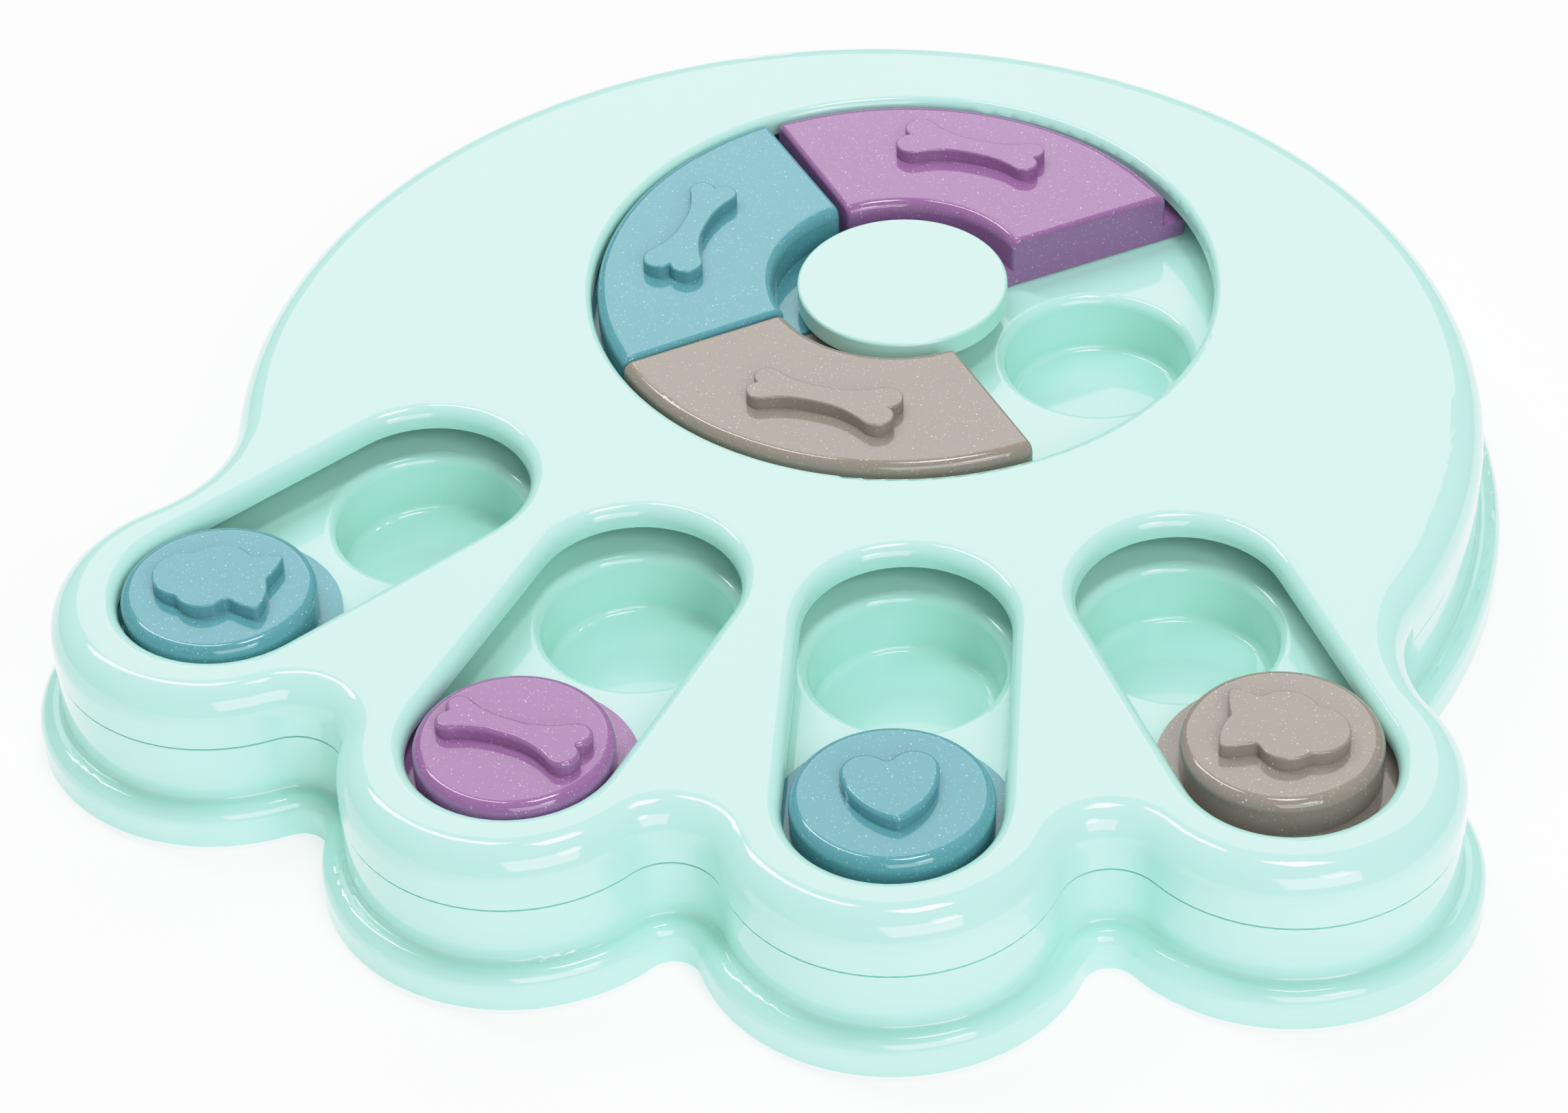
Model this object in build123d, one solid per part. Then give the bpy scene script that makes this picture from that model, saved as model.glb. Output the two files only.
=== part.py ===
from build123d import *
import math
import os

# Paw-shaped treat puzzle. Two mint mouldings, a tray and a cover, are screwed together. Between them
# run three ring sliders round a hub and four round toe sliders, each over a row of treat wells.
# Millimetres and degrees. The plan is measured from the hub axis, with the toes towards -Y.

# ---------------------------------------------------------------- plan of the paw
palm_radius = 118.0            # cover's outer side round the palm
palm_margin = 22.4             # cover's width between its round opening and its side at the back
palm_valley_radius = 29.5      # hollow between palm and outer toe
toe_valley_radius = 9.3        # hollow between two toes
toe_rim = 11.7                 # cover's width between a toe slot's side and its outer side
inner_toe = (34.3, 145.3)      # middle toe's round end: its centre aside and in front
outer_toe = (98.5, 118.4)      # outer toe's round end: its centre aside and in front
inner_toe_splay = 11.0         # slot's direction away from straight ahead
outer_toe_splay = 34.4
slot_setback = 0.9             # slot's outer end centre, in from the toe's
slot_length = 47.1             # between the slot's two end centres

# ---------------------------------------------------------------- heights above the ground
pad_proud = 0.5                # rubber pads stand this far below the tray's rim
flange_height = 7.9            # top of the tray's foot flange
floor_height = 21.0            # floor that the sliders run on
floor_rise = 1.3               # floor above the tray's ledge under the cover's skirt
cover_height = 31.5            # cover's flat top
slider_proud = 0.4             # sliders stand this far above the cover
hub_cap_sunk = 0.5             # hub cap lies this far below the cover's top

# ---------------------------------------------------------------- mouldings
cover_wall = 2.5
cover_plate = 2.6
cover_top_round = 6.5
ring_opening_round = 1.9
slot_round = 3.2
lip_depth = 4.0                # downward lip round each opening, from the cover's top
lip_wall = 2.0
guide_wall = 1.6
parting_gap = 0.35             # between the cover's lower edge and the tray's ledge
cover_edge_round = 0.4         # cover's lower edge
tray_wall = 2.4
tray_floor = 2.5
tray_inset = 0.2               # tray's wall lies behind the cover's side
locating_gap = 0.3             # between the cover's skirt and the tray's raised floor
flange_width = 4.3             # foot flange beyond the cover's side
flange_round = 3.0
flange_crease_round = 1.0
rib_height = 6.0
rib_thickness = 1.6

# ---------------------------------------------------------------- treat wells
well_radius = 18.2             # at the rim
well_bottom_radius = 17.0
well_depth = 11.5
well_wall = 2.0
well_rim_round = 2.2
well_floor_round = 1.5
well_ring_radius = 39.5        # ring wells' centres from the hub axis
well_ring_count = 4
well_ring_turn = -3.0          # first ring well's direction

# ---------------------------------------------------------------- sliders
running_gap = 0.3              # slider's underside above the floor
flange_lip_gap = 2.8           # top of the sliders' hidden flange to the lips above it
slider_skin = 2.4              # slider's hollow shell
slider_round = 2.2             # ring slider's top edge, along its two arcs
slider_side_round = 1.1        # ring slider's other edges, along its two straight sides
toe_slider_radius = 17.9
toe_slider_gap = 1.2           # slider to the slot's side
toe_slider_flange = 4.2        # flange beyond the round slider
toe_slider_round = 2.2
toe_rest = (0.4, 0.4, 1.9, 5.3)    # how far in from its toe's centre each slider stands
toe_aside = (0.0, 0.6, 0.0, 0.8)   # how far to the right of the slot's middle line it stands
open_radius = 60.6             # cover's round opening
ring_edge_gap = 2.0            # ring slider's top to the opening's side
ring_flange_reach = 2.6        # ring slider's flange beyond the opening's side
ring_guide_gap = 1.7           # its flange to the guide wall and to the hub post
ring_inner_gap = 3.8           # ring slider's top to the hub cap
ring_slider_angle = 90.0
ring_neighbour_gap = 0.4       # between two neighbours' straight sides, when both stand centred
ring_rest = {                  # direction of each ring slider, and how far out and round it stands
    "blue": (176.1, 1.2, -0.6),
    "purple": (84.6, 0.0, 0.3),
    "taupe": (265.3, 0.4, -1.05),
}
ring_flange_corner_round = 1.0

# ---------------------------------------------------------------- hub
hub_cap_radius = 20.5
hub_cap_skirt = 4.2
hub_cap_wall = 2.2
hub_cap_round = 0.7
hub_post_radius = 13.5
hub_post_wall = 2.2

# ---------------------------------------------------------------- emblems
emblem_height = 2.7
flat_round = 0.45              # upper edge of the flat emblems: fish and ring bones
pillow_round = 0.9             # upper edge of the pillowy emblems: heart and toe bone
emblem_corner_round = 1.0
emblem_turn = (0.0, -8.8, 21.0, 5.0)   # toe emblems' directions, from left to right
ring_bone_length = 29.4
toe_bone_length = 28.0
bone_big_end = 0.41            # bone's end widths, waist and side rounds, as shares of its length
bone_small_end = 0.33
bone_waist = 0.165
bone_side_round = 0.6
bone_knob = 0.27               # knob's radius, as a share of its end's width
bone_reach = 42.3              # ring bones' distance from the hub axis
heart_size = 17.2
heart_outline = (
    (0, 0.28), (-0.27, 0.45), (-0.5, 0.14), (-0.34, -0.28),
    (0, -0.55), (0.34, -0.28), (0.5, 0.14), (0.27, 0.45),
)
fish_length = 22.6
fish_outline = (
    (0.261, 0.235), (0.527, -0.035), (0.243, -0.305), (0.044, -0.402),
    (-0.168, -0.239), (-0.305, -0.296), (-0.455, -0.323), (-0.465, -0.128),
    (-0.407, 0.045), (-0.442, 0.195), (-0.451, 0.363), (-0.314, 0.332),
    (-0.199, 0.288), (0.018, 0.385),
)

# ---------------------------------------------------------------- screws and pads
screw_shank_radius = 1.2
screw_thread_depth = 0.25
screw_pitch = 1.3
screw_tip_gap = 2.0            # screw's tip below the cover's plate
screw_tip_length = 1.6
screw_head_radius = 2.8
screw_head_height = 2.0
screw_head_round = 0.7
screw_recess_width = 0.8
screw_recess_length = 3.2
screw_recess_depth = 1.1
screw_seat_depth = 4.5         # head's seat below the tray's floor
screw_tube_depth = 11.0        # tube's mouth below the tray's floor
screw_tube_wall = 1.4
screw_head_gap = 0.4
screw_hole_gap = 0.25
screw_thread_gap = 0.05
boss_wall = 2.1
boss_pilot_gap = 1.0           # boss's pilot hole beyond the screw's tip
palm_screw_inset = 8.5         # palm screws' distance inside the cover's side
palm_screw_angles = (-16.0, 35.0, 90.0, 145.0, 196.0)
heel_screw_forward = 76.5      # single screw between the ring and the middle toes
web_screw_inset = 1.5          # web screws, back from the middle between two slots
pad_radius = 7.0
pad_thickness = 1.7
pad_edge_round = 0.4
pad_fit_gap = 0.15
pad_post_wall = 1.5
pad_post_bore = 5.0
pad_palm_inset = 13.0
pad_palm_angles = (2.0, 62.0, 118.0, 178.0)

tolerance = 0.01               # lengths closer than this are the same

# ---------------------------------------------------------------- values worked out
palm_forward = palm_radius - open_radius - palm_margin      # palm circle's centre, in front of the hub
parting_height = floor_height - floor_rise
lip_bottom = cover_height - lip_depth
lobe_radius = toe_slider_radius + toe_slider_gap + toe_rim
slot_half_width = toe_slider_radius + toe_slider_gap
toe_flange_radius = toe_slider_radius + toe_slider_flange
ring_outer_radius = open_radius - ring_edge_gap
ring_inner_radius = hub_cap_radius + ring_inner_gap
ring_flange_outer = open_radius + ring_flange_reach
ring_flange_inner = hub_post_radius + ring_guide_gap
ring_guide_radius = ring_flange_outer + ring_guide_gap
plate_underside = cover_height - cover_plate
floor_underside = floor_height - tray_floor
slider_bottom = floor_height + running_gap
slider_top = cover_height + slider_proud
flange_top = lip_bottom - flange_lip_gap
hub_cap_top = cover_height - hub_cap_sunk
well_bottom = floor_height - well_depth
screw_seat = floor_height - screw_seat_depth
screw_tip = plate_underside - screw_tip_gap
screw_length = screw_tip - screw_seat
pilot_top = screw_tip + boss_pilot_gap
screw_tube_bottom = floor_height - screw_tube_depth
screw_thread_radius = screw_shank_radius + screw_thread_depth
screw_hole_radius = screw_thread_radius + screw_hole_gap
pilot_radius = screw_thread_radius + screw_thread_gap
boss_radius = pilot_radius + boss_wall
screw_bore_radius = screw_head_radius + screw_head_gap
paw_front = inner_toe[1] + lobe_radius + flange_width
paw_back = palm_radius - palm_forward + flange_width
hub_y = (paw_front - paw_back) / 2      # brings the origin to the middle of the paw's footprint


def polar(radius, angle):
    """Point at a distance and direction from the hub axis."""
    return (radius * math.cos(math.radians(angle)), radius * math.sin(math.radians(angle)))


def toe_centre(index):
    """Centre of the round end of toe 0 to 3, from left to right."""
    aside, ahead = outer_toe if index in (0, 3) else inner_toe
    return Vector(-aside if index < 2 else aside, -ahead)


def toe_inward(index):
    """Direction of a toe's slot, from its outer end to its inner end."""
    splay = math.radians(outer_toe_splay if index in (0, 3) else inner_toe_splay)
    return Vector(math.sin(splay) if index < 2 else -math.sin(splay), math.cos(splay))


def slot_ends(index):
    """Centres of a toe slot's outer and inner ends."""
    outer = toe_centre(index) + toe_inward(index) * slot_setback
    return outer, outer + toe_inward(index) * slot_length


def palm_spot(angle, inset):
    """Point inside the cover's side round the palm."""
    x, y = polar(palm_radius - inset, angle)
    return (x, y - palm_forward)


def screw_spots():
    """Cover screws' places: five round the palm, one at its heel, three between the toes."""
    spots = [palm_spot(angle, palm_screw_inset) for angle in palm_screw_angles]
    spots.append((0.0, -heel_screw_forward))
    for index in range(3):
        middle = (toe_centre(index) + toe_centre(index + 1)) * 0.5
        spots.append((middle.X, middle.Y + web_screw_inset))
    return spots


def pad_spots():
    """Rubber pads' places: one under each toe, four under the palm."""
    spots = [(toe_centre(index).X, toe_centre(index).Y) for index in range(4)]
    spots += [palm_spot(angle, pad_palm_inset) for angle in pad_palm_angles]
    return spots


def well_spots():
    """Treat wells' centres: four under the ring sliders, one at each toe slot's inner end."""
    step = 360.0 / well_ring_count
    spots = [polar(well_ring_radius, well_ring_turn + step * index) for index in range(well_ring_count)]
    inner_ends = [slot_ends(index)[1] for index in range(4)]
    spots += [(end.X, end.Y) for end in inner_ends]
    return spots


def arc_on(centre, radius, start, end, counter_clockwise):
    """Arc round a centre between two points on it."""
    first = math.atan2(start.Y - centre.Y, start.X - centre.X)
    last = math.atan2(end.Y - centre.Y, end.X - centre.X)
    if counter_clockwise and last < first:
        last += 2 * math.pi
    if not counter_clockwise and last > first:
        last -= 2 * math.pi
    half = (first + last) / 2
    middle = Vector(centre.X + radius * math.cos(half), centre.Y + radius * math.sin(half))
    return ThreePointArc(start, middle, end)


def paw_face(grow):
    """Paw outline, grown evenly: palm and toe circles joined by hollow arcs."""
    circles = [(Vector(0, -palm_forward), palm_radius + grow)]
    circles += [(toe_centre(index), lobe_radius + grow) for index in range(4)]
    hollows = [palm_valley_radius, toe_valley_radius, toe_valley_radius, toe_valley_radius, palm_valley_radius]
    valleys = []
    for index, hollow in enumerate(hollows):
        centre_a, radius_a = circles[index]
        centre_b, radius_b = circles[(index + 1) % len(circles)]
        radius = hollow - grow
        reach_a = radius_a + radius
        reach_b = radius_b + radius
        line = centre_b - centre_a
        along = (reach_a ** 2 - reach_b ** 2 + line.length ** 2) / (2 * line.length)
        aside = math.sqrt(reach_a ** 2 - along ** 2)
        unit = line.normalized()
        centre = centre_a + unit * along + Vector(unit.Y, -unit.X) * aside
        leave = centre_a + (centre - centre_a) * (radius_a / reach_a)
        arrive = centre_b + (centre - centre_b) * (radius_b / reach_b)
        valleys.append((centre, radius, leave, arrive))
    edges = []
    for index, (centre, radius) in enumerate(circles):
        valley_centre, valley_radius, leave, arrive = valleys[index]
        came = valleys[index - 1][3]
        edges.append(arc_on(centre, radius, came, leave, True))
        edges.append(arc_on(valley_centre, valley_radius, leave, arrive, False))
    return make_face(edges)


def slab(face, bottom, top):
    """Upright solid of a plan face between two heights."""
    return extrude(Pos(0, 0, bottom) * face, top - bottom)


def disc(spot, radius, bottom, top):
    """Upright round solid."""
    return slab(Pos(spot[0], spot[1]) * Circle(radius), bottom, top)


def tube(spot, outer, inner, bottom, top):
    """Upright tube."""
    return disc(spot, outer, bottom, top) - disc(spot, inner, bottom, top)


def slot_slab(index, half_width, bottom, top):
    """Round-ended solid along a toe slot."""
    outer, inner = slot_ends(index)
    middle = (outer + inner) * 0.5
    inward = toe_inward(index)
    angle = math.degrees(math.atan2(inward.Y, inward.X))
    face = Pos(middle.X, middle.Y) * Rot(0, 0, angle) * SlotCenterToCenter(slot_length, 2 * half_width)
    return slab(face, bottom, top)


def rims_on_top(cover, hub_side):
    """Upper edges of the cover's openings: of the round one at the hub, or of the toe slots."""
    top = cover.faces().sort_by(Axis.Z)[-1]
    wires = [wire for wire in top.inner_wires() if (wire.center().Y > -open_radius) == hub_side]
    return [edge for wire in wires for edge in wire.edges()]


def make_cover():
    """Top moulding: plate and skirt, lips round its openings, a guide wall and screw bosses below."""
    outer = slab(paw_face(0), parting_height + parting_gap, cover_height)
    outer = fillet(outer.faces().sort_by(Axis.Z)[-1].edges(), cover_top_round)
    outer = fillet(outer.faces().sort_by(Axis.Z)[0].edges(), cover_edge_round)
    inside = slab(paw_face(-cover_wall), parting_height, plate_underside)
    cover = outer - fillet(inside.faces().sort_by(Axis.Z)[-1].edges(), cover_top_round - cover_wall)
    hub = (0, 0)
    cover += tube(hub, open_radius + lip_wall, open_radius, lip_bottom, plate_underside)
    cover += tube(hub, ring_guide_radius + guide_wall, ring_guide_radius, floor_height, plate_underside)
    for index in range(4):
        cover += slot_slab(index, slot_half_width + lip_wall, lip_bottom, plate_underside)
        cover -= slot_slab(index, slot_half_width, lip_bottom, cover_height)
    cover -= disc(hub, open_radius, floor_height, cover_height)
    for spot in screw_spots():
        cover += disc(spot, boss_radius, floor_height, plate_underside)
        cover -= disc(spot, pilot_radius, floor_height, pilot_top)
    cover = fillet(rims_on_top(cover, True), ring_opening_round)
    return fillet(rims_on_top(cover, False), slot_round)


def make_well_cutter(spot):
    """Space of one treat well: a slightly tapered cup with a rounded floor."""
    height = floor_height - well_bottom
    cup = Cone(well_bottom_radius, well_radius, height, align=(Align.CENTER, Align.CENTER, Align.MIN))
    cup = fillet(cup.faces().sort_by(Axis.Z)[0].edges(), well_floor_round)
    return Pos(spot[0], spot[1], well_bottom) * cup


def make_tray():
    """Bottom moulding: wall, foot flange and floor, with wells, hub post, screw tubes and pad posts."""
    foot = slab(paw_face(flange_width), pad_proud, flange_height)
    foot = fillet(foot.faces().sort_by(Axis.Z)[-1].edges(), flange_round)
    tray = foot + slab(paw_face(-tray_inset), pad_proud, parting_height)
    level = (flange_height - tolerance, flange_height + tolerance)
    shelf = tray.faces().filter_by(Axis.Z).filter_by_position(Axis.Z, *level)[0]
    crease = [edge for wire in shelf.inner_wires() for edge in wire.edges()]
    tray = fillet(crease, flange_crease_round)
    tray += slab(paw_face(-cover_wall - locating_gap), parting_height, floor_height)
    tray -= slab(paw_face(flange_width - tray_wall), pad_proud, flange_height - tray_wall)
    tray -= slab(paw_face(-tray_inset - tray_wall), pad_proud, floor_underside)
    inside = slab(paw_face(-tray_inset - tray_wall / 2), floor_underside - rib_height, floor_underside)
    for index in range(well_ring_count):
        angle = well_ring_turn + 360.0 / well_ring_count * (index + 0.5)
        rib = Pos(palm_radius / 2, 0) * Rectangle(palm_radius, rib_thickness)
        rib = slab(Rot(0, 0, angle) * rib, floor_underside - rib_height, floor_underside)
        tray += rib & inside
    for spot in well_spots():
        tray += disc(spot, well_radius + well_wall, well_bottom - well_wall, floor_underside)
    hub = (0, 0)
    plate_of_cap = hub_cap_top - hub_cap_wall
    tray += tube(hub, hub_post_radius, hub_post_radius - hub_post_wall, floor_height, plate_of_cap)
    tube_radius = screw_bore_radius + screw_tube_wall
    for spot in screw_spots() + [hub]:
        tray += disc(spot, tube_radius, screw_tube_bottom, floor_underside)
    post_radius = pad_radius + pad_fit_gap + pad_post_wall
    for spot in pad_spots():
        tray += tube(spot, post_radius, pad_post_bore, pad_proud, floor_underside)
        tray -= disc(spot, pad_radius + pad_fit_gap, pad_proud, pad_thickness)
    for spot in screw_spots() + [hub]:
        tray -= disc(spot, screw_bore_radius, pad_proud, screw_seat)
        tray -= disc(spot, screw_hole_radius, screw_seat, floor_height)
    for spot in well_spots():
        tray -= make_well_cutter(spot)
    rims = [edge for edge in tray.edges().filter_by(GeomType.CIRCLE)
            if abs(edge.center().Z - floor_height) < tolerance and abs(edge.radius - well_radius) < tolerance]
    return fillet(rims, well_rim_round)


def make_hub_cap():
    """Round cap over the hub post, with a skirt and a screw boss."""
    bottom = hub_cap_top - hub_cap_skirt
    plate = hub_cap_top - hub_cap_wall
    hub = (0, 0)
    cap = disc(hub, hub_cap_radius, bottom, hub_cap_top)
    cap = fillet(cap.faces().sort_by(Axis.Z)[-1].edges(), hub_cap_round)
    cap -= disc(hub, hub_cap_radius - hub_cap_wall, bottom, plate)
    cap += disc(hub, boss_radius, floor_height, plate)
    return cap - disc(hub, pilot_radius, floor_height, pilot_top)


def wedge_face(reach, inset):
    """Ring slider's angle about +X, its straight sides moved in evenly by inset and half a gap."""
    half = ring_slider_angle / 2
    wedge = make_face(Polyline((0, 0), polar(reach, -half), (reach, 0), polar(reach, half), (0, 0)))
    return Pos((inset + ring_neighbour_gap / 2) / math.sin(math.radians(half)), 0) * wedge


def sector_face(inner, outer, inset):
    """Ring slider's sector about +X, all its sides moved in evenly by inset."""
    ring = Circle(outer - inset) - Circle(inner + inset)
    return ring & wedge_face(2 * outer, inset)


def bone_face(length):
    """Dog bone along Y with its bigger end towards +Y."""
    big_end = length * bone_big_end
    small_end = length * bone_small_end
    waist = length * bone_waist
    big = big_end * bone_knob
    small = small_end * bone_knob
    face = Pos(0, (small - big) / 2) * Rectangle(waist, length - big - small)
    for side in (-1, 1):
        face += Pos(side * (big_end / 2 - big), length / 2 - big) * Circle(big)
        face += Pos(side * (small_end / 2 - small), small - length / 2) * Circle(small)
    necks = [vertex for vertex in face.vertices() if abs(vertex.Y) < length / 2 - min(big, small)]
    return fillet(necks, length * bone_side_round)


def arc_outline(points, size):
    """Closed outline of arcs, from corner and on-the-way points in turn, given as shares of its size."""
    spots = [Vector(x * size, y * size) for x, y in points]
    count = len(spots)
    edges = [ThreePointArc(spots[i], spots[i + 1], spots[(i + 2) % count]) for i in range(0, count, 2)]
    return make_face(edges)


def heart_face():
    """Heart with its tip towards -Y."""
    face = arc_outline(heart_outline, heart_size)
    return fillet(face.vertices(), emblem_corner_round)


def fish_face():
    """Fish with its nose towards +X."""
    face = arc_outline(fish_outline, fish_length)
    return fillet(face.vertices(), emblem_corner_round)


def raise_emblem(face, edge_round):
    """Raised emblem on a slider's top, its upper edge rounded."""
    foot = slab(face, slider_top - slider_skin / 2, slider_top + emblem_height)
    return fillet(foot.faces().sort_by(Axis.Z)[-1].edges(), edge_round)


def make_ring_slider(turn, out, along):
    """Sector slider with flanges under the cover and the hub cap, hollow below, where it rests."""
    ring = tube((0, 0), ring_outer_radius, ring_inner_radius, slider_bottom, slider_top)
    ring = fillet(ring.faces().sort_by(Axis.Z)[-1].edges(), slider_round)
    slider = ring & slab(wedge_face(2 * ring_outer_radius, 0), slider_bottom, slider_top)
    sides = [face for face in slider.faces().filter_by(GeomType.PLANE) if abs(face.normal_at().Z) < tolerance]
    edges = [edge for face in sides for edge in face.edges() if edge.center().Z > slider_bottom + tolerance]
    slider = fillet(edges, slider_side_round)
    flange = sector_face(ring_flange_inner, ring_flange_outer, 0)
    slider += slab(fillet(flange.vertices(), ring_flange_corner_round), slider_bottom, flange_top)
    hollow = sector_face(ring_inner_radius, ring_outer_radius, slider_skin)
    slider -= slab(hollow, slider_bottom, slider_top - slider_skin)
    slider += raise_emblem(Pos(bone_reach, 0) * bone_face(ring_bone_length), flat_round)
    return Rot(0, 0, turn) * Pos(out, along) * slider


def toe_emblems():
    """Raised emblem of each toe slider, from left to right."""
    faces = (
        (mirror(fish_face(), about=Plane.YZ), flat_round),
        (Rot(0, 0, -90) * bone_face(toe_bone_length), pillow_round),
        (heart_face(), pillow_round),
        (fish_face(), flat_round),
    )
    return [raise_emblem(Rot(0, 0, turn) * face, edge) for turn, (face, edge) in zip(emblem_turn, faces)]


def make_toe_slider(index, emblem):
    """Round slider with a wider flange under the cover, hollow below, with a raised emblem."""
    centre = (0, 0)
    slider = disc(centre, toe_slider_radius, slider_bottom, slider_top)
    slider = fillet(slider.faces().sort_by(Axis.Z)[-1].edges(), toe_slider_round)
    slider += disc(centre, toe_flange_radius, slider_bottom, flange_top)
    slider -= disc(centre, toe_slider_radius - slider_skin, slider_bottom, slider_top - slider_skin)
    slider += emblem
    inward = toe_inward(index)
    aside = Vector(inward.Y, -inward.X)
    rest = toe_centre(index) + inward * toe_rest[index] + aside * toe_aside[index]
    return Pos(rest.X, rest.Y) * slider


def make_screw():
    """Self-tapping pan-head screw, head down, with ring ridges for its thread; seat at the origin."""
    ridges = int((screw_length - screw_tip_length) / screw_pitch)
    points = [(0, 0), (screw_shank_radius, 0)]
    start = screw_length - screw_tip_length - ridges * screw_pitch
    for ridge in range(ridges):
        low = start + ridge * screw_pitch
        points.append((screw_shank_radius, low))
        points.append((screw_thread_radius, low + screw_pitch / 2))
    points.append((screw_shank_radius, screw_length - screw_tip_length))
    points.append((0, screw_length))
    profile = Plane.XZ * make_face(Polyline(*points, close=True))
    screw = revolve(profile, Axis.Z)
    head = disc((0, 0), screw_head_radius, -screw_head_height, 0)
    head = fillet(head.faces().sort_by(Axis.Z)[0].edges(), screw_head_round)
    cross = Rectangle(screw_recess_length, screw_recess_width)
    cross += Rectangle(screw_recess_width, screw_recess_length)
    return screw + head - slab(cross, -screw_head_height, screw_recess_depth - screw_head_height)


def make_pad():
    """Soft round foot pad."""
    pad = disc((0, 0), pad_radius, 0, pad_thickness)
    return fillet(pad.faces().sort_by(Axis.Z)[0].edges(), pad_edge_round)


def make_parts():
    """Every piece by its node name, in the plan measured from the hub axis."""
    parts = {"tray": make_tray(), "cover": make_cover(), "hub_cap": make_hub_cap()}
    for colour, rest in ring_rest.items():
        parts[f"ring_slider_{colour}"] = make_ring_slider(*rest)
    for index, emblem in enumerate(toe_emblems()):
        parts[f"toe_slider_{index + 1}"] = make_toe_slider(index, emblem)
    screw = make_screw()
    parts["hub_screw"] = Pos(0, 0, screw_seat) * screw
    for number, (x, y) in enumerate(screw_spots(), 1):
        parts[f"cover_screw_{number}"] = Pos(x, y, screw_seat) * screw
    pad = make_pad()
    for number, (x, y) in enumerate(pad_spots(), 1):
        parts[f"foot_pad_{number}"] = Pos(x, y) * pad
    return parts


os.makedirs("parts", exist_ok=True)
for name, shape in make_parts().items():
    export_step(Pos(0, hub_y) * shape, f"parts/{name}.step")
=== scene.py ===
"""Finishes, studio and camera of a paw-shaped treat puzzle.

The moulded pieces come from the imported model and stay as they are. This script gives every one of them
its finish, then sets the studio round them: a pale floor, soft lights and the camera.
"""

from __future__ import annotations

import logging
import math
from dataclasses import dataclass, field
from enum import Enum

import bpy
from mathutils import Matrix, Vector

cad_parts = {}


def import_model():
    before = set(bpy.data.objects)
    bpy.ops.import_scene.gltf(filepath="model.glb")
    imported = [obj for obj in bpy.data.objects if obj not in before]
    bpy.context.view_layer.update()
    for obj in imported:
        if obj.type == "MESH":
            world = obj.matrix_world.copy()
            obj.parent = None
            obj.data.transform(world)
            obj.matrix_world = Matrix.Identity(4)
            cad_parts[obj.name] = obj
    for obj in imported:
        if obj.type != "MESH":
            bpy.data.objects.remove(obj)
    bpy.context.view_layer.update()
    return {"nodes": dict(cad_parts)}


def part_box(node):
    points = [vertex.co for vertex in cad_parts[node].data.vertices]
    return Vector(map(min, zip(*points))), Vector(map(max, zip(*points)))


log = logging.getLogger("treat_puzzle")

MM = 0.001

# The camera's aim on the cover's top, across and along from the hub's axis, in metres.
AIM_FROM_HUB = (-0.59 * MM, -86.40 * MM)

# Places of the colour sockets on a Mix node, whose names are shared with its other sockets.
MIX_FIRST, MIX_SECOND, MIX_RESULT = 6, 7, 2

# Place of the curve for all three colours in a film's set of curves.
ALL_COLOURS = 3

# Middle of a piece in its own box, seen from above, as shares of the box.
BOX_MIDDLE = (0.5, 0.5, 0.0)

Tint = tuple[float, float, float]
Direction = tuple[float, float, float]
Span = tuple[float, float]
Socket = bpy.types.NodeSocket


class Slot(Enum):
    """Material slots of the record."""

    MINT = "mint_plastic"
    BLUE = "blue_plastic"
    PURPLE = "purple_plastic"
    TAUPE = "taupe_plastic"
    STEEL = "screw_steel"
    RUBBER = "pad_rubber"


@dataclass(frozen=True)
class Mottle:
    """Soft noise of one size.

    Attributes:
        size: Its largest lumps, in metres.
        layers: How many finer layers it has.
        crispness: How strong the finer layers are.
    """

    size: float
    layers: float
    crispness: float = 0.5


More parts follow.
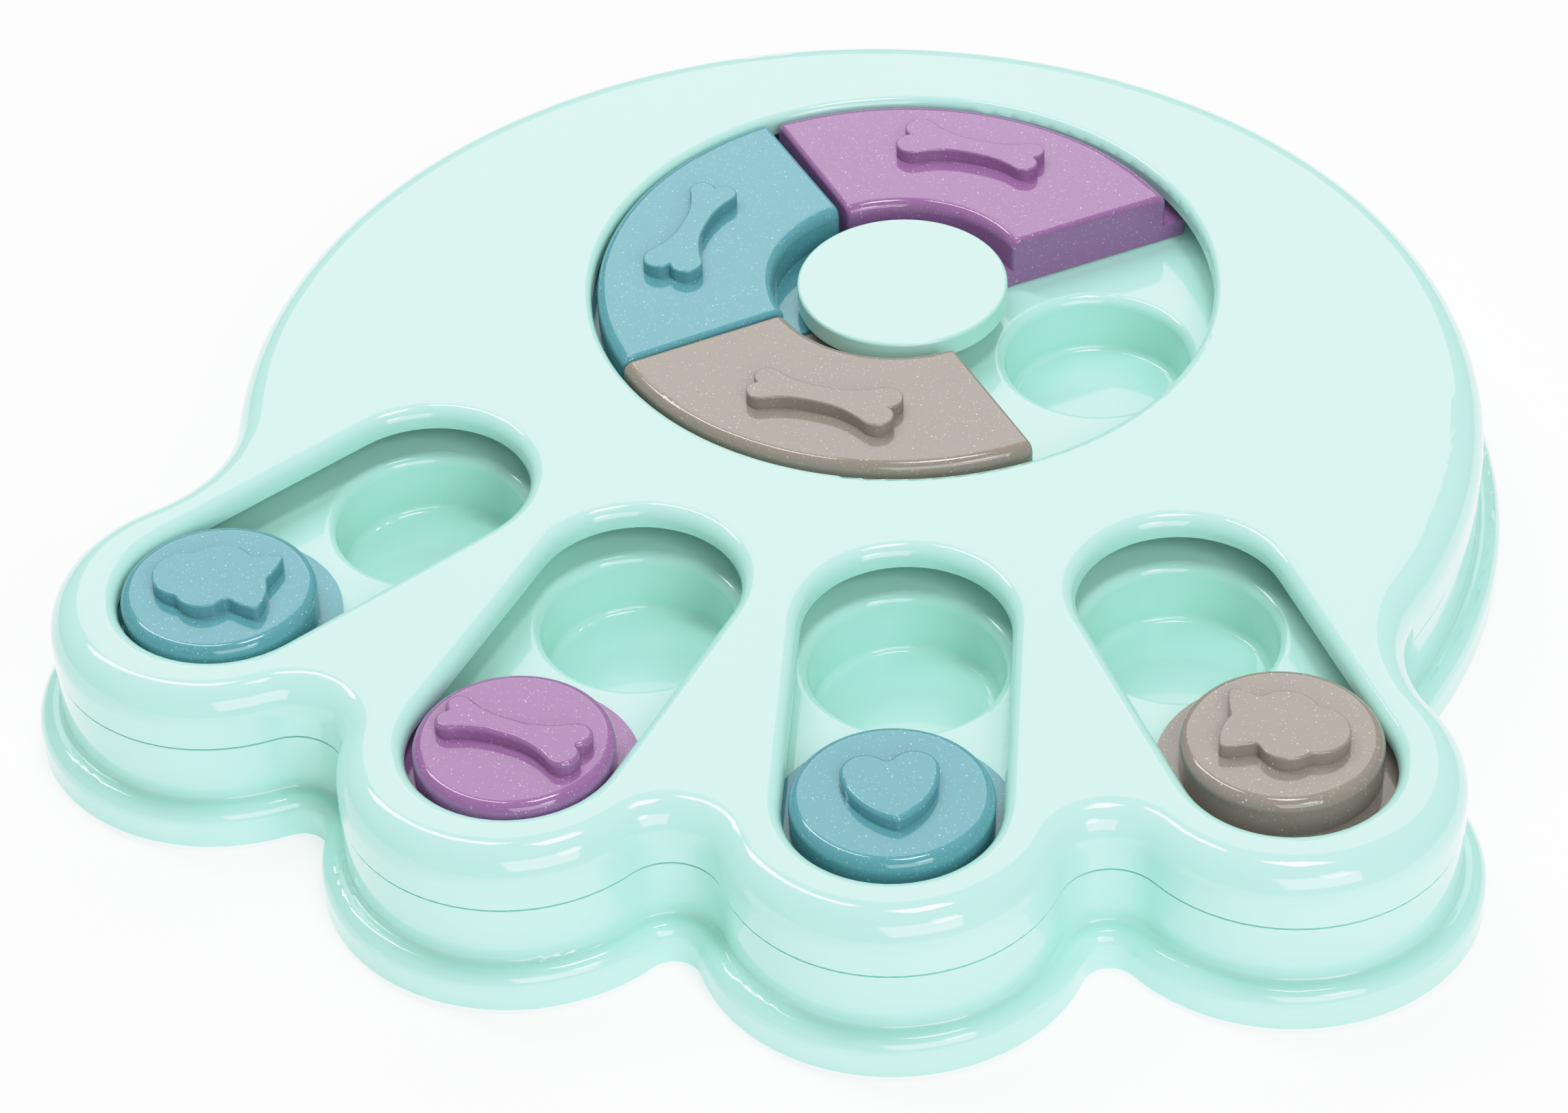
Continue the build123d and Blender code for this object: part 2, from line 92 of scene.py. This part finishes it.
class Graph:
    """Node tree of one material or of the world, with short calls for its nodes and wires."""

    def __init__(self, tree: bpy.types.NodeTree) -> None:
        """Starts from an empty tree.

        Args:
            tree: The tree to fill.
        """
        self.tree = tree
        self.tree.nodes.clear()

    def node(self, kind: str, **settings: object) -> bpy.types.Node:
        """Adds a node.

        Args:
            kind: The node's type, without its ShaderNode prefix.
            **settings: The node's own settings.

        Returns:
            The new node.
        """
        node = self.tree.nodes.new("ShaderNode" + kind)
        for name, value in settings.items():
            setattr(node, name, value)
        return node

    def feed(self, node: bpy.types.Node, **values: object) -> None:
        """Fills a node's inputs by name, with a wire where the value is another node's socket.

        Args:
            node: The node to fill.
            **values: Input names, with an underscore for each space, and their values.
        """
        for name, value in values.items():
            self.fill(node.inputs[name.replace("_", " ")], value)

    def fill(self, socket: Socket, value: object) -> None:
        """Fills one input.

        Args:
            socket: The input.
            value: Another node's socket, to wire it to, or the value to set.
        """
        if isinstance(value, Socket):
            self.tree.links.new(value, socket)
        else:
            socket.default_value = value

    def show(self, shader: bpy.types.Node, output: str = "OutputMaterial") -> None:
        """Sends a shader to the tree's output.

        Args:
            shader: The shader.
            output: The output node's type, without its ShaderNode prefix.
        """
        self.feed(self.node(output), Surface=shader.outputs[0])

    def object_point(self) -> Socket:
        """Place on the piece, in metres."""
        return self.node("TexCoord").outputs["Object"]

    def noise(self, point: Socket, mottle: Mottle) -> Socket:
        """Soft noise.

        Args:
            point: Where it is read.
            mottle: Its size and layers.

        Returns:
            The noise, from 0 to 1.
        """
        node = self.node("TexNoise")
        self.feed(node, Vector=point, Scale=1.0 / mottle.size)
        self.feed(node, Detail=mottle.layers, Roughness=mottle.crispness)
        return node.outputs["Fac"]

    def span(self, value: Socket, source: Span, target: Span) -> Socket:
        """Value mapped evenly from one range to another, and kept in it.

        Args:
            value: The value.
            source: Start and end of its range.
            target: What they become.

        Returns:
            The mapped value.
        """
        node = self.node("MapRange")
        self.feed(node, Value=value, From_Min=source[0], From_Max=source[1])
        self.feed(node, To_Min=target[0], To_Max=target[1])
        return node.outputs["Result"]

    def times(self, first: Socket, second: Socket) -> Socket:
        """Product of two values."""
        node = self.node("Math", operation="MULTIPLY")
        self.fill(node.inputs[0], first)
        self.fill(node.inputs[1], second)
        return node.outputs["Value"]

    def blend(self, share: Socket, first: Tint | Socket, second: Tint | Socket) -> Socket:
        """Mix of two colours.

        Args:
            share: How much of the second colour shows.
            first: Colour at share 0.
            second: Colour at share 1.

        Returns:
            The mixed colour.
        """
        node = self.node("Mix", data_type="RGBA")
        self.feed(node, Factor=share)
        for place, colour in ((MIX_FIRST, first), (MIX_SECOND, second)):
            self.fill(node.inputs[place], colour if isinstance(colour, Socket) else (*colour, 1.0))
        return node.outputs[MIX_RESULT]

    def bump(self, height: Socket, depth: float, under: Socket | None = None) -> Socket:
        """Surface relief.

        Args:
            height: The relief, from 0 to 1.
            depth: Its full height, in metres.
            under: Relief that this one lies on.

        Returns:
            The bent normal.
        """
        node = self.node("Bump")
        self.feed(node, Height=height, Distance=depth, Strength=1.0)
        if under is not None:
            self.feed(node, Normal=under)
        return node.outputs["Normal"]


def new_finish(name: str) -> tuple[bpy.types.Material, Graph]:
    """Starts a material.

    Args:
        name: The finish's name.

    Returns:
        The material and its empty graph.
    """
    material = bpy.data.materials.new(name)
    material.use_nodes = True
    return material, Graph(material.node_tree)


@dataclass(frozen=True)
class Specks:
    """Fine specks that lie through the whole plastic.

    Attributes:
        tint: Their colour.
        spacing: Mean distance between two of them, in metres.
        radius: Radius of the largest, in metres.
        share: How many of the places hold one, from 0 to 1.
        strength: How strongly the strongest shows.
        faintest: Strength of the faintest, as a share of the strongest.
        core: Share of the radius that shows in full, before the soft rim.
        sharpness: Width of the step between places with a speck and places without.
    """

    tint: Tint
    spacing: float
    radius: float
    share: float
    strength: float
    faintest: float = 0.35
    core: float = 0.5
    sharpness: float = 0.001

    def over(self, graph: Graph, point: Socket, ground: Socket) -> Socket:
        """Lays the specks over a colour.

        Args:
            graph: The material's graph.
            point: Place on the piece.
            ground: The plastic's own colour.

        Returns:
            The colour with its specks.
        """
        cells = graph.node("TexVoronoi", feature="F1", distance="EUCLIDEAN")
        graph.feed(cells, Vector=point, Scale=1.0 / self.spacing, Randomness=1.0)
        edge = self.radius / self.spacing
        spot = graph.span(cells.outputs["Distance"], (self.core * edge, edge), (1.0, 0.0))
        chance = graph.node("SeparateColor")
        graph.feed(chance, Color=cells.outputs["Color"])
        limit = (self.share, self.share + self.sharpness)
        shown = graph.span(chance.outputs["Red"], limit, (self.strength, 0.0))
        weight = graph.span(chance.outputs["Green"], (0.0, 1.0), (self.faintest, 1.0))
        return graph.blend(graph.times(spot, graph.times(shown, weight)), ground, self.tint)


@dataclass(frozen=True)
class MouldedPlastic:
    """Glossy injection-moulded plastic.

    Attributes:
        name: The finish's name.
        light: Its colour.
        deep: The slightly deeper tone of its soft mottling.
        specks: What lies in the plastic, from fine to rare.
        tone: The soft changes of tone.
        dulling: The changes of gloss.
        dulling_ends: Where the gloss is at its ends, in the noise of its changes.
        gloss: Roughness of its smoothest and dullest places.
        ripple: The skin's long low ripple.
        ripple_depth: Height of that ripple, in metres.
        polish: The mould's fine polish marks.
        polish_depth: Height of those marks, in metres.
        bending: How strongly it bends light.
        glow: Share of the light that travels inside the plastic.
        glow_reach: How far that light travels, in metres.
        glow_spread: How far its red, green and blue travel, as shares of that reach.
    """

    name: str
    light: Tint
    deep: Tint
    specks: tuple[Specks, ...]
    tone: Mottle = Mottle(45 * MM, 3.0)
    dulling: Mottle = Mottle(18 * MM, 5.0, 0.65)
    dulling_ends: Span = (0.3, 0.7)
    gloss: Span = (0.06, 0.10)
    ripple: Mottle = Mottle(16 * MM, 1.0)
    ripple_depth: float = 0.006 * MM
    polish: Mottle = Mottle(0.7 * MM, 3.0)
    polish_depth: float = 0.0006 * MM
    bending: float = 1.5
    glow: float = 0.12
    glow_reach: float = 0.9 * MM
    glow_spread: Tint = (0.8, 1.0, 0.95)

    def make(self) -> bpy.types.Material:
        """Builds the material."""
        material, graph = new_finish(self.name)
        point = graph.object_point()
        colour = graph.blend(graph.noise(point, self.tone), self.light, self.deep)
        for specks in self.specks:
            colour = specks.over(graph, point, colour)
        dull = graph.span(graph.noise(point, self.dulling), self.dulling_ends, self.gloss)
        ripple = graph.bump(graph.noise(point, self.ripple), self.ripple_depth)
        skin = graph.bump(graph.noise(point, self.polish), self.polish_depth, ripple)
        surface = graph.node("BsdfPrincipled", subsurface_method="RANDOM_WALK")
        graph.feed(surface, Base_Color=colour, Roughness=dull, Normal=skin, IOR=self.bending)
        graph.feed(surface, Subsurface_Weight=self.glow, Subsurface_Scale=self.glow_reach)
        graph.feed(surface, Subsurface_Radius=self.glow_spread)
        graph.show(surface)
        return material


@dataclass(frozen=True)
class PlatedSteel:
    """Zinc-plated screw steel, turned and slightly dulled.

    Attributes:
        name: The finish's name.
        bright: Colour of its bright places.
        dull: Colour of its dull places.
        clouds: The plating's soft clouds.
        cloud_ends: Where the gloss is at its ends, in the noise of the clouds.
        gloss: Roughness of its brightest and dullest places.
        turning: Turned rings across a screw's head.
        waver: How far those rings stray from round.
        groove_depth: Height of the turned rings, in metres.
    """

    name: str
    bright: Tint
    dull: Tint
    clouds: Mottle = Mottle(1.6 * MM, 4.0, 0.6)
    cloud_ends: Span = (0.25, 0.75)
    gloss: Span = (0.22, 0.42)
    turning: float = 9.0
    waver: float = 0.4
    groove_depth: float = 0.01 * MM

    def make(self) -> bpy.types.Material:
        """Builds the material."""
        material, graph = new_finish(self.name)
        clouds = graph.noise(graph.object_point(), self.clouds)
        centred = graph.node("VectorMath", operation="SUBTRACT")
        graph.fill(centred.inputs[0], graph.node("TexCoord").outputs["Generated"])
        graph.fill(centred.inputs[1], BOX_MIDDLE)
        rings = graph.node("TexWave", wave_type="RINGS", rings_direction="Z", wave_profile="SIN")
        graph.feed(rings, Vector=centred.outputs["Vector"], Scale=self.turning, Distortion=self.waver)
        surface = graph.node("BsdfPrincipled")
        graph.feed(surface, Base_Color=graph.blend(clouds, self.bright, self.dull), Metallic=1.0)
        graph.feed(surface, Roughness=graph.span(clouds, self.cloud_ends, self.gloss))
        graph.feed(surface, Normal=graph.bump(rings.outputs["Fac"], self.groove_depth))
        graph.show(surface)
        return material


@dataclass(frozen=True)
class SoftSilicone:
    """Matte silicone of the foot pads.

    Attributes:
        name: The finish's name.
        light: Its colour.
        deep: Colour of its faint dust and mottling.
        patches: That dust and mottling.
        patch_ends: Where the gloss is at its ends, in the noise of the patches.
        gloss: Roughness of its smoothest and dullest places.
        grain: Its fine moulded grain.
        grain_depth: Height of that grain, in metres.
        bending: How strongly it bends light.
        glow: Share of the light that travels inside it.
        glow_reach: How far that light travels, in metres.
    """

    name: str
    light: Tint
    deep: Tint
    patches: Mottle = Mottle(5.4 * MM, 4.0, 0.6)
    patch_ends: Span = (0.3, 0.7)
    gloss: Span = (0.55, 0.75)
    grain: Mottle = Mottle(0.45 * MM, 4.0, 0.6)
    grain_depth: float = 0.02 * MM
    bending: float = 1.41
    glow: float = 0.3
    glow_reach: float = 1.5 * MM

    def make(self) -> bpy.types.Material:
        """Builds the material."""
        material, graph = new_finish(self.name)
        point = graph.object_point()
        grain = graph.noise(point, self.grain)
        patches = graph.noise(point, self.patches)
        surface = graph.node("BsdfPrincipled", subsurface_method="RANDOM_WALK")
        graph.feed(surface, Base_Color=graph.blend(patches, self.light, self.deep))
        graph.feed(surface, Roughness=graph.span(patches, self.patch_ends, self.gloss))
        graph.feed(surface, Normal=graph.bump(grain, self.grain_depth), IOR=self.bending)
        graph.feed(surface, Subsurface_Weight=self.glow, Subsurface_Scale=self.glow_reach)
        graph.show(surface)
        return material


@dataclass(frozen=True)
class PaleFloor:
    """Plain pale studio floor.

    Attributes:
        name: The finish's name.
        light: Its colour.
        deep: Its second, hardly different tone.
        patches: The change of tone.
        roughness: Its roughness.
        shine: How strongly it mirrors.
        glow: Light that it gives off by itself.
        glow_tint: Colour of that light.
    """

    name: str = "pale_floor"
    light: Tint = (0.92, 0.92, 0.92)
    deep: Tint = (0.90, 0.905, 0.905)
    patches: Mottle = Mottle(0.3, 3.0)
    roughness: float = 0.85
    shine: float = 0.2
    glow: float = 0.42
    glow_tint: Tint = (1.0, 1.0, 1.0)

    def make(self) -> bpy.types.Material:
        """Builds the material."""
        material, graph = new_finish(self.name)
        patches = graph.noise(graph.object_point(), self.patches)
        surface = graph.node("BsdfPrincipled")
        graph.feed(surface, Base_Color=graph.blend(patches, self.light, self.deep))
        graph.feed(surface, Roughness=self.roughness, Specular_IOR_Level=self.shine)
        graph.feed(surface, Emission_Color=(*self.glow_tint, 1.0), Emission_Strength=self.glow)
        graph.show(surface)
        return material


def slider_plastic(name: str, light: Tint, deep: Tint, speck: Tint) -> MouldedPlastic:
    """Coloured plastic of a slider, with pale mineral specks in two sizes.

    Args:
        name: The finish's name.
        light: Its colour.
        deep: The slightly deeper tone of its soft mottling.
        speck: The specks' colour.

    Returns:
        The finish.
    """
    fine = Specks(speck, spacing=0.65 * MM, radius=0.14 * MM, share=0.8, strength=0.55)
    coarse = Specks(speck, spacing=1.4 * MM, radius=0.19 * MM, share=0.7, strength=0.9)
    return MouldedPlastic(name, light, deep, (fine, coarse), glow=0.15)


MINT_DUST = Specks((0.25, 0.33, 0.32), spacing=6.0 * MM, radius=0.16 * MM, share=0.12, strength=0.5)

FINISHES = {
    Slot.MINT: MouldedPlastic("mint_gloss", (0.475, 0.815, 0.725), (0.46, 0.805, 0.71), (MINT_DUST,)),
    Slot.BLUE: slider_plastic(
        "teal_gloss", light=(0.11, 0.34, 0.39), deep=(0.098, 0.322, 0.372), speck=(0.62, 0.80, 0.84)
    ),
    Slot.PURPLE: slider_plastic(
        "mauve_gloss", light=(0.315, 0.15, 0.34), deep=(0.297, 0.138, 0.322), speck=(0.82, 0.66, 0.84)
    ),
    Slot.TAUPE: slider_plastic(
        "taupe_gloss", light=(0.30, 0.262, 0.222), deep=(0.282, 0.247, 0.208), speck=(0.78, 0.74, 0.68)
    ),
    Slot.STEEL: PlatedSteel("zinc_plate", (0.66, 0.66, 0.67), (0.50, 0.50, 0.52)),
    Slot.RUBBER: SoftSilicone("clear_silicone", (0.80, 0.81, 0.80), (0.70, 0.71, 0.70)),
}


@dataclass
class Workshop:
    """Makes each finish once and hands it out.

    Attributes:
        nodes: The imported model's pieces by name.
        materials: The finished materials by slot.
    """

    nodes: dict[str, bpy.types.Object]
    materials: dict[Slot, bpy.types.Material] = field(init=False)

    def __post_init__(self) -> None:
        """Makes every finish."""
        self.materials = {slot: finish.make() for slot, finish in FINISHES.items()}

    def dress(self, name: str, slot: Slot) -> None:
        """Gives a piece its finish.

        Args:
            name: The piece's name.
            slot: The finish's slot in the record.
        """
        piece = self.nodes[name]
        piece.data.materials.clear()
        piece.data.materials.append(self.materials[slot])
        log.info("%s: %s, %d faces", name, self.materials[slot].name, len(piece.data.polygons))


@dataclass
class Housing:
    """The two mint mouldings and the cap over their hub.

    Attributes:
        names: Its pieces.
    """

    names: tuple[str, ...] = ("tray", "cover", "hub_cap")

    def dress(self, workshop: Workshop) -> None:
        """Gives the housing its mint plastic."""
        for name in self.names:
            workshop.dress(name, Slot.MINT)


@dataclass
class Sliders:
    """The coloured sliders, three round the hub and four in the toes.

    Attributes:
        colours: The finish of each, by name.
    """

    colours: tuple[tuple[str, Slot], ...] = (
        ("ring_slider_blue", Slot.BLUE),
        ("ring_slider_purple", Slot.PURPLE),
        ("ring_slider_taupe", Slot.TAUPE),
        ("toe_slider_1", Slot.BLUE),
        ("toe_slider_2", Slot.PURPLE),
        ("toe_slider_3", Slot.BLUE),
        ("toe_slider_4", Slot.TAUPE),
    )

    def dress(self, workshop: Workshop) -> None:
        """Gives each slider its colour."""
        for name, slot in self.colours:
            workshop.dress(name, slot)


@dataclass
class Underside:
    """What shows only from below: screws and foot pads.

    Attributes:
        finishes: The finish of each kind, by what its pieces' names hold.
    """

    finishes: tuple[tuple[str, Slot], ...] = (("screw", Slot.STEEL), ("foot_pad", Slot.RUBBER))

    def dress(self, workshop: Workshop) -> None:
        """Gives the screws their plating and the pads their silicone."""
        for mark, slot in self.finishes:
            for name in sorted(workshop.nodes):
                if mark in name:
                    workshop.dress(name, slot)


@dataclass
class SoftLight:
    """A softbox or panel that faces the puzzle.

    Attributes:
        name: Its name.
        direction: Where it stands, as seen from the puzzle.
        distance: How far away it stands, in metres.
        width: Its width, in metres.
        height: Its height, in metres.
        power: Its power, in watts.
        lean: How far it leans over sideways, in degrees.
    """

    name: str
    direction: Direction
    distance: float
    width: float
    height: float
    power: float
    lean: float = 0.0

    def place(self, aim: Vector) -> None:
        """Sets the light up.

        Args:
            aim: The point that it faces.
        """
        lamp = bpy.data.lights.new(self.name, "AREA")
        lamp.shape = "RECTANGLE"
        lamp.size = self.width
        lamp.size_y = self.height
        lamp.energy = self.power
        stand = bpy.data.objects.new(self.name, lamp)
        toward = Vector(self.direction).normalized()
        stand.location = aim + toward * self.distance
        facing = toward.to_track_quat("Z", "Y").to_matrix().to_4x4()
        stand.rotation_euler = (facing @ Matrix.Rotation(math.radians(self.lean), 4, "Z")).to_euler()
        bpy.context.scene.collection.objects.link(stand)
        log.info("light %s: %.1f W", self.name, self.power)


@dataclass
class Lens:
    """The camera, as an orbit round a point on the puzzle.

    Attributes:
        target: Point in the middle of the frame.
        azimuth: Way round from straight in front, in degrees.
        elevation: Height above the floor, in degrees.
        roll: Turn about the line of sight, in degrees.
        distance: From the target, in metres.
        focal: Focal length, in millimetres.
        sensor: Width of the sensor, in millimetres.
        clip: Nearest and farthest that it sees, in metres.
    """

    target: Vector
    azimuth: float = 16.497
    elevation: float = 40.067
    roll: float = -2.231
    distance: float = 0.88105
    focal: float = 111.4
    sensor: float = 36.0
    clip: Span = (0.01, 50.0)

    def place(self) -> None:
        """Sets the camera up as the scene's own."""
        around = math.radians(self.azimuth)
        up = math.radians(self.elevation)
        turn = math.radians(self.roll)
        level = math.cos(up)
        back = Vector((math.sin(around) * level, -math.cos(around) * level, math.sin(up)))
        side = Vector((0, 0, 1)).cross(back).normalized()
        head = back.cross(side)
        right = side * math.cos(turn) + head * math.sin(turn)
        top = head * math.cos(turn) - side * math.sin(turn)
        lens = bpy.data.cameras.new("camera")
        lens.lens = self.focal
        lens.sensor_width = self.sensor
        lens.sensor_fit = "HORIZONTAL"
        lens.clip_start, lens.clip_end = self.clip
        camera = bpy.data.objects.new("camera", lens)
        stand = Matrix.Translation(self.target + back * self.distance)
        camera.matrix_world = stand @ Matrix((right, top, back)).transposed().to_4x4()
        bpy.context.scene.collection.objects.link(camera)
        bpy.context.scene.camera = camera
        log.info("camera: %.1f mm lens, %.3f m away", self.focal, self.distance)


@dataclass
class Studio:
    """Floor, lights, surrounding light and camera.

    Attributes:
        target: The camera's aim, in metres.
        floor_size: Side of the floor, in metres.
        surround: Strength of the even light from all round.
        surround_tint: Colour of that light.
        lights: The softboxes.
        film_white: Light that comes out as pure white.
        film_curve: The film's soft shoulder, as light in and light out.
    """

    target: Vector
    floor_size: float = 12.0
    surround: float = 0.28
    surround_tint: Tint = (1.0, 1.0, 1.0)
    lights: tuple[SoftLight, ...] = (
        SoftLight("strip_left", (-0.45, 0.27, 0.85), 1.5, 0.2, 0.9, 7.3, lean=22.0),
        SoftLight("softbox_top", (0.10, 0.12, 0.99), 1.4, 0.3, 0.3, 4.5),
        SoftLight("softbox_right", (0.54, -0.44, 0.72), 0.9, 0.18, 0.18, 0.7),
        SoftLight("panel_back", (-0.22, 0.73, 0.64), 1.8, 1.5, 1.0, 11.0),
        SoftLight("panel_front", (0.45, -0.68, 0.58), 2.2, 1.6, 1.2, 24.0),
    )
    film_white: float = 2.0
    film_curve: tuple[Span, ...] = (
        (0.25, 0.25), (0.5, 0.5), (0.75, 0.735), (1.0, 0.87), (1.3, 0.95), (1.6, 0.985)
    )

    def lay_floor(self) -> None:
        """Lays the floor under the puzzle."""
        half = self.floor_size / 2
        outline = [(-half, -half, 0), (half, -half, 0), (half, half, 0), (-half, half, 0)]
        mesh = bpy.data.meshes.new("studio_floor")
        mesh.from_pydata(outline, [], [(0, 1, 2, 3)])
        mesh.materials.append(PaleFloor().make())
        floor = bpy.data.objects.new("studio_floor", mesh)
        bpy.context.scene.collection.objects.link(floor)

    def light(self) -> None:
        """Sets the surrounding light and the softboxes up."""
        world = bpy.data.worlds.new("studio")
        world.use_nodes = True
        graph = Graph(world.node_tree)
        shade = graph.node("Background")
        graph.feed(shade, Color=(*self.surround_tint, 1.0), Strength=self.surround)
        graph.show(shade, "OutputWorld")
        bpy.context.scene.world = world
        for softbox in self.lights:
            softbox.place(self.target)

    def develop(self) -> None:
        """Shows the colours as they are, but for a soft shoulder near white."""
        view = bpy.context.scene.view_settings
        view.view_transform = "Standard"
        view.look = "None"
        view.exposure = 0.0
        view.gamma = 1.0
        view.use_curve_mapping = True
        film = view.curve_mapping
        film.white_level = (self.film_white,) * 3
        for light, shown in self.film_curve:
            film.curves[ALL_COLOURS].points.new(light / self.film_white, shown)
        film.update()

    def build(self) -> None:
        """Builds the whole studio."""
        self.lay_floor()
        self.light()
        Lens(self.target).place()
        self.develop()


def aim() -> Vector:
    """Point on the cover's top that the camera and the lights face."""
    hub = sum(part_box("hub_cap"), Vector()) / 2
    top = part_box("cover")[1].z
    return Vector((hub.x + AIM_FROM_HUB[0], hub.y + AIM_FROM_HUB[1], top))


def main() -> None:
    """Builds the looks in order: the finishes, the pieces and the studio."""
    logging.basicConfig(level=logging.INFO, format="%(message)s")
    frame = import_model()
    workshop = Workshop(frame["nodes"])
    for assembly in (Housing(), Sliders(), Underside()):
        assembly.dress(workshop)
    Studio(aim()).build()


if __name__ == "__main__":
    main()
